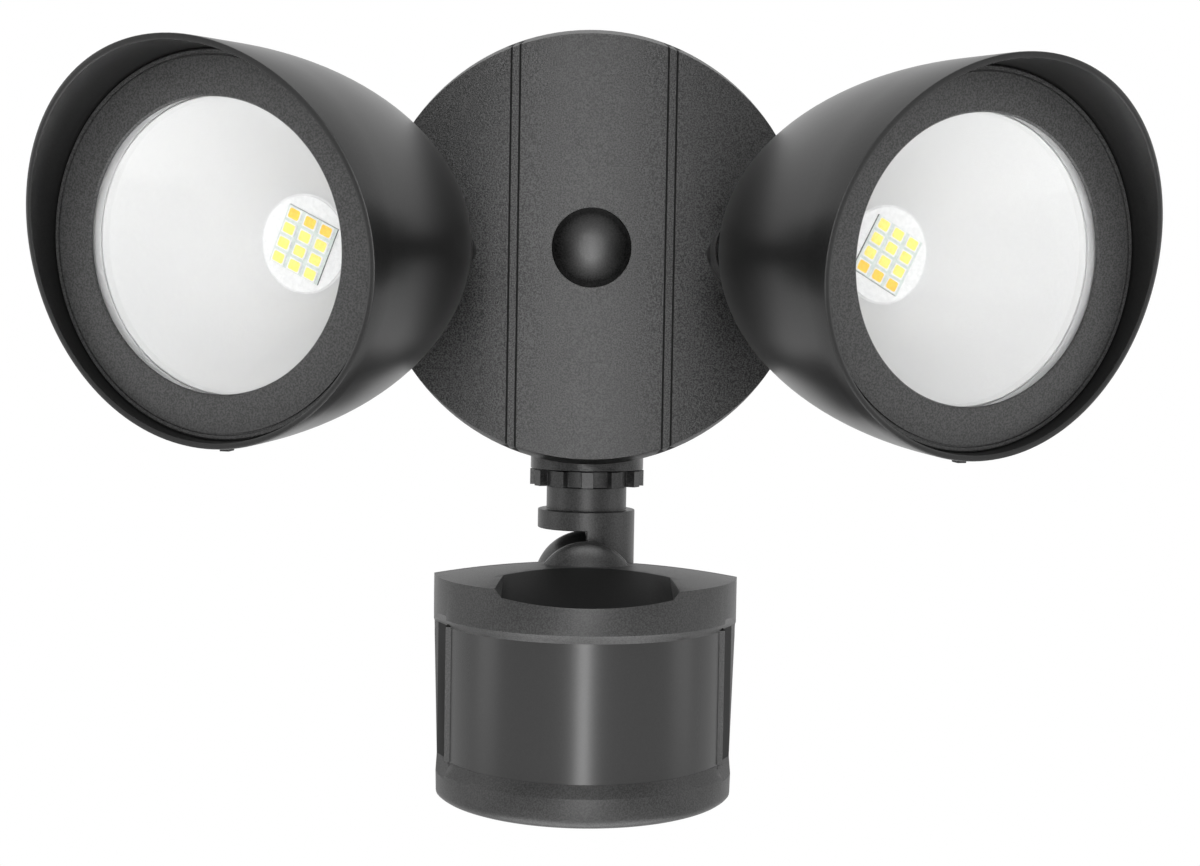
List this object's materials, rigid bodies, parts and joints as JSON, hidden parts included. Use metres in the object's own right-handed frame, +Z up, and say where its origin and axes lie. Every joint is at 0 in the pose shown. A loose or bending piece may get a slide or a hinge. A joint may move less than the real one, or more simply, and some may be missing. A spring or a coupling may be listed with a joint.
{
  "type": "motion sensor security light",
  "caption": "Wall security light: round canopy, hooded lamp heads on swivelling knuckle arms and a tilting motion sensor hung below.",
  "frame": {"origin": "centre of the crossbar's box screw pattern, on the wall plane", "axes": "+Z up, +Y into the wall, the lamps face -Y, +X to the right seen from the front"},
  "size_m": [0.261, 0.1843, 0.2266],
  "materials": {
    "textured_black": "fine textured powder coat",
    "shell_black": "smooth matte powder coat",
    "sensor_plastic": "fine matte moulding",
    "window_dark": "polished dark infrared window",
    "clear_glass": "clear tempered glass",
    "white_cone": "satin white reflector",
    "phosphor": "yellow phosphor in white packages",
    "white_board": "white coated metal core board",
    "heat_metal": "extruded aluminium",
    "board_green": "circuit board",
    "part_grey": "electronic components",
    "rubber_black": "black rubber",
    "zinc_steel": "zinc plated steel",
    "green_screw": "green dyed steel",
    "can_steel": "plated metal can",
    "dial_white": "moulded dial"
  },
  "bodies": {
    "canopy": {"canopy_housing": "textured_black", "wall_gasket": "rubber_black", "mounting_crossbar": "zinc_steel", "mounting_bolt": "zinc_steel", "ground_screw": "green_screw", "driver_board": "board_green", "driver_components": "part_grey", "back_cover": "sensor_plastic", "back_cover_screws": "zinc_steel", "boss_seals": "rubber_black"},
    "plug": {"screw_plug": "rubber_black"},
    "sensor_stem": {"sensor_arm": "shell_black", "sensor_arm_clip": "zinc_steel", "sensor_pivot_screw": "zinc_steel", "sensor_pivot_nut": "zinc_steel"},
    "sensor_collar": {"sensor_lock_nut": "shell_black"},
    "sensor": {"sensor_front_housing": "sensor_plastic", "sensor_rear_housing": "sensor_plastic", "sensor_seal": "rubber_black", "pir_lens": "window_dark", "sensor_board": "board_green", "pir_detector": "can_steel", "light_sensor": "part_grey", "sensor_screws": "zinc_steel", "dial_potentiometers": "part_grey"},
    "time_knob": {"time_dial": "dial_white"},
    "range_knob": {"range_dial": "dial_white"},
    "left_stem": {"left_arm": "shell_black", "left_arm_clip": "zinc_steel", "left_pivot_screw": "zinc_steel", "left_pivot_nut": "zinc_steel"},
    "left_collar": {"left_lock_nut": "shell_black"},
    "left_head": {"left_head_housing": "shell_black", "left_bezel": "textured_black", "left_lens": "clear_glass", "left_lens_seal": "rubber_black", "left_reflector": "white_cone", "left_led_board": "white_board", "left_led_chips": "phosphor", "left_led_carrier": "heat_metal", "left_board_screws": "zinc_steel"},
    "right_stem": {"right_arm": "shell_black", "right_arm_clip": "zinc_steel", "right_pivot_screw": "zinc_steel", "right_pivot_nut": "zinc_steel"},
    "right_collar": {"right_lock_nut": "shell_black"},
    "right_head": {"right_head_housing": "shell_black", "right_bezel": "textured_black", "right_lens": "clear_glass", "right_lens_seal": "rubber_black", "right_reflector": "white_cone", "right_led_board": "white_board", "right_led_chips": "phosphor", "right_led_carrier": "heat_metal", "right_board_screws": "zinc_steel"}
  },
  "joints": [
    {"name": "plug_pull", "type": "slide", "parent": "canopy", "child": "plug", "axis": [0, -1, 0], "range_m": [0, 0.02]},
    {"name": "sensor_swivel", "type": "hinge", "parent": "canopy", "child": "sensor_stem", "pos_m": [0, -0.027, -0.0656], "axis": [0, 0, 1], "range_deg": [-25, 25]},
    {"name": "sensor_collar_turn", "type": "hinge", "parent": "sensor_stem", "child": "sensor_collar", "pos_m": [0, -0.027, -0.06835], "axis": [0, 0, 1], "continuous": true},
    {"name": "sensor_tilt", "type": "hinge", "parent": "sensor_stem", "child": "sensor", "pos_m": [0, -0.027, -0.1006], "axis": [1, 0, 0], "range_deg": [-4, 15]},
    {"name": "time_dial_turn", "type": "hinge", "parent": "sensor", "child": "time_knob", "pos_m": [-0.016, -0.0551, -0.1601], "axis": [0, 0, 1], "range_deg": [-135, 135]},
    {"name": "range_dial_turn", "type": "hinge", "parent": "sensor", "child": "range_knob", "pos_m": [0.016, -0.0551, -0.1601], "axis": [0, 0, 1], "range_deg": [-135, 135]},
    {"name": "left_swivel", "type": "hinge", "parent": "canopy", "child": "left_stem", "pos_m": [-0.0453, -0.0607, -0.0012], "axis": [-0.3907, -0.9205, 0], "range_deg": [-30, 30]},
    {"name": "left_collar_turn", "type": "hinge", "parent": "left_stem", "child": "left_collar", "pos_m": [-0.04651, -0.06355, -0.0012], "axis": [-0.3907, -0.9205, 0], "continuous": true},
    {"name": "left_tilt", "type": "hinge", "parent": "left_stem", "child": "left_head", "pos_m": [-0.05194, -0.07635, -0.0012], "axis": [0.9205, -0.3907, 0], "range_deg": [-30, 35]},
    {"name": "right_swivel", "type": "hinge", "parent": "canopy", "child": "right_stem", "pos_m": [0.0453, -0.0607, -0.0012], "axis": [0.3907, -0.9205, 0], "range_deg": [-30, 30]},
    {"name": "right_collar_turn", "type": "hinge", "parent": "right_stem", "child": "right_collar", "pos_m": [0.04651, -0.06355, -0.0012], "axis": [0.3907, -0.9205, 0], "continuous": true},
    {"name": "right_tilt", "type": "hinge", "parent": "right_stem", "child": "right_head", "pos_m": [0.05194, -0.07635, -0.0012], "axis": [0.9205, 0.3907, 0], "range_deg": [-30, 35]}
  ]
}
